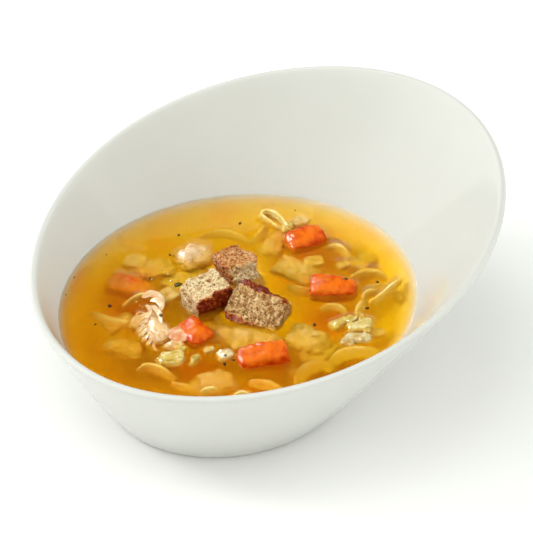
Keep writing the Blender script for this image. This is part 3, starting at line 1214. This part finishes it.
def broth_material():
    finish, tree = new_material("clear_chicken_broth")
    mm = place_in_mm(tree)
    drops = add(tree, "TexVoronoi", {"Vector": mm, "Scale": 1 / 4.0}).outputs["Distance"]
    drop = add(tree, "MapRange", {"Value": drops, "From Min": 0.20, "From Max": 0.26,
                                  "To Min": 1.0, "To Max": 0.0}).outputs[0]
    colour = blend(tree, drop, "#FFFAE8", "#FFF3CE")
    rough = add(tree, "MapRange", {"Value": drop, "To Min": 0.28, "To Max": 0.33}).outputs[0]
    swell = add(tree, "TexNoise", {"Vector": mm, "Scale": 1 / 14.0, "Detail": 2.0})
    bump = add(tree, "Bump", {"Height": swell.outputs["Fac"], "Distance": 0.25 * MM,
                              "Strength": 0.5})
    liquid = add(tree, "BsdfPrincipled", {
        "Base Color": colour, "Roughness": rough, "IOR": 1.33, "Transmission Weight": 1.0,
        "Specular Tint": (0.3, 0.24, 0.1, 1.0), "Normal": bump.outputs[0],
        "Coat Weight": 1.0, "Coat Roughness": 0.05, "Coat IOR": 1.33,
        "Coat Normal": bump.outputs[0]})
    clear = add(tree, "BsdfTransparent")
    lamp = add(tree, "LightPath").outputs["Is Shadow Ray"]
    surface = add(tree, "MixShader", {0: lamp, 1: liquid.outputs[0], 2: clear.outputs[0]})
    tint = add(tree, "VolumeAbsorption", {"Color": KEPT_PER_DEPTH, "Density": STRENGTH})
    add(tree, "OutputMaterial", {"Surface": surface.outputs[0], "Volume": tint.outputs[0]})
    return finish


BROTH = broth_material()
show("clear_broth", make_broth(), BROTH, "broth", ["broth"])

# %% [markdown]
# ## Camera, light and floor
#
# The bowl stands on white paper in a white room, seen from its front right and from 38 degrees
# up through a long lens, which keeps the rim's oval calm. A still liquid is a mirror: from here
# it mirrors the far wall, 40 degrees up, and a white wall there would lie over the broth as a
# milky veil. So the room has a soft dark opening in just that direction. A photographer does
# the same with a black card. The key lamp hangs overhead, and a small one at the left adds
# sparkle. A window low at the left and a small lamp behind show only as a shine. The window is
# split in two with light linking, so that the broth and the food each get what they need.

# %% The camera
def look_at(thing, spot):
    """Turn a camera or lamp towards a spot."""
    thing.rotation_euler = (spot - thing.location).to_track_quat("-Z", "Y").to_euler()


CAMERA_SPOT = Vector((0.67919, -0.61099, 0.75592))      # in metres in the bowl's frame
CAMERA_AIM = Vector((-0.04739, 0.04162, 0.0))
LENS, SENSOR = 183.5, 36.0                              # in millimetres
scene = bpy.context.scene
camera = bpy.data.objects.new("camera", bpy.data.cameras.new("camera"))
scene.collection.objects.link(camera)
camera.location = CAMERA_SPOT
look_at(camera, CAMERA_AIM)
camera.data.lens = LENS
camera.data.sensor_width = SENSOR
scene.camera = camera
scene.view_settings.view_transform = "Standard"

# %% [markdown]
# The room is the world's colour by direction. The opening's soft edge is a ramp on the cosine
# of the angle to its middle, and a second, gentle ramp makes the near side of the room greyer.

# %% The white room and its dark opening
DARK_UP = 40.0                # how high over the floor the opening's middle is, in degrees
OPENING = (0.74, 0.89)        # the cosines at which its edge begins and ends
ROOM_STRENGTH = 1.42
world = bpy.data.worlds.new("white_studio")
world.use_nodes = True
tree = world.node_tree
direction = add(tree, "TexCoord").outputs["Generated"]
turn = math.radians(DARK_UP)
dark = SERVING @ Vector((0.0, math.cos(turn), math.sin(turn)))
near = add(tree, "VectorMath", {0: direction, 1: dark}, operation="DOT_PRODUCT").outputs["Value"]
walls = ramp(tree, near, [(OPENING[0], "#FDFFFA"), (OPENING[1], "#242420")])
away = SERVING @ Vector((0.0, 1.0, 0.0))
onward = add(tree, "VectorMath", {0: direction, 1: away}, operation="DOT_PRODUCT")
share = add(tree, "MapRange", {"Value": onward.outputs["Value"], "From Min": -0.9,
                               "From Max": 0.0}).outputs[0]
front = ramp(tree, share, [(0.0, "#BEBEBA"), (1.0, "#FFFFFF")])
both = blend(tree, 1.0, walls, front, "MULTIPLY")
tree.links.new(both, tree.nodes["Background"].inputs["Color"])
tree.nodes["Background"].inputs["Strength"].default_value = ROOM_STRENGTH
scene.world = world
print("the opening is %.0f degrees across" % (2.0 * math.degrees(math.acos(OPENING[0]))))

# %% [markdown]
# The lamps are area lamps, whose spots are given in the layout's frame. Those that only show as
# a shine are hidden from diffuse and transmitted rays, and linked to the pieces they light. The
# key and side lamps do the opposite: they light everything, but nothing mirrors them.

# %% Lamps and the paper
LIT_SPOT = Vector((0.0, 0.0, 0.05))       # all lamps point here, in metres


def softbox(name, spot, size, power):
    """A soft lamp. Its spot is in metres in the layout's frame: right, away and up."""
    lamp = bpy.data.objects.new(name, bpy.data.lights.new(name, "AREA"))
    scene.collection.objects.link(lamp)
    lamp.location = SERVING @ Vector(spot)
    look_at(lamp, LIT_SPOT)
    lamp.data.shape = "RECTANGLE"
    lamp.data.size, lamp.data.size_y = size
    lamp.data.energy = power
    return lamp


def shine(name, spot, size, power, lit):
    """A lamp that only shows as a shine, on the pieces that are given."""
    lamp = softbox(name, spot, size, power)
    lamp.visible_diffuse = False
    lamp.visible_transmission = False
    lamp.light_linking.receiver_collection = bpy.data.collections.new(name)
    for piece in lit:
        lamp.light_linking.receiver_collection.objects.link(piece)


WINDOW, WINDOW_SIZE = (-0.95, 0.1, 0.45), (0.8, 0.5)
SIDE, SIDE_SIZE = (-0.95, 0.1, 0.80), (0.3, 0.3)
pieces = [thing for thing in scene.objects if thing.type == "MESH" and thing != BOWL]
liquid = [piece for piece in pieces if piece.name == "clear_broth"]
food = [piece for piece in pieces if piece.name != "clear_broth"]
shine("broth_shine", WINDOW, WINDOW_SIZE, 16.0, liquid)
shine("food_shine", WINDOW, WINDOW_SIZE, 95.0, food)
shine("food_glints", (-0.50, 0.75, 0.85), (0.26, 0.26), 20.0, food)
shine("sparkle", SIDE, SIDE_SIZE, 2.6, pieces)
for lamp in (softbox("key", (-0.3, 0.05, 1.4), (0.9, 0.9), 4.0),
             softbox("side", SIDE, SIDE_SIZE, 2.6)):
    lamp.visible_glossy = False

FLOOR_HALF = 3.0                          # in metres
bm = bmesh.new()
bmesh.ops.create_grid(bm, x_segments=1, y_segments=1, size=FLOOR_HALF)
mesh = bpy.data.meshes.new("floor")
bm.to_mesh(mesh)
bm.free()
floor = bpy.data.objects.new("floor", mesh)
scene.collection.objects.link(floor)
finish, tree = new_material("white_paper_sweep")
fleck = add(tree, "TexNoise", {"Vector": place_in_mm(tree), "Scale": 1 / 60.0, "Detail": 2.0})
paper = ramp(tree, fleck.outputs["Fac"], [(0.3, "#FAFAFA"), (0.7, "#FCFCFC")])
shader = add(tree, "BsdfPrincipled", {"Base Color": paper, "Roughness": 0.7})
finish_surface(tree, shader.outputs[0])
mesh.materials.append(finish)
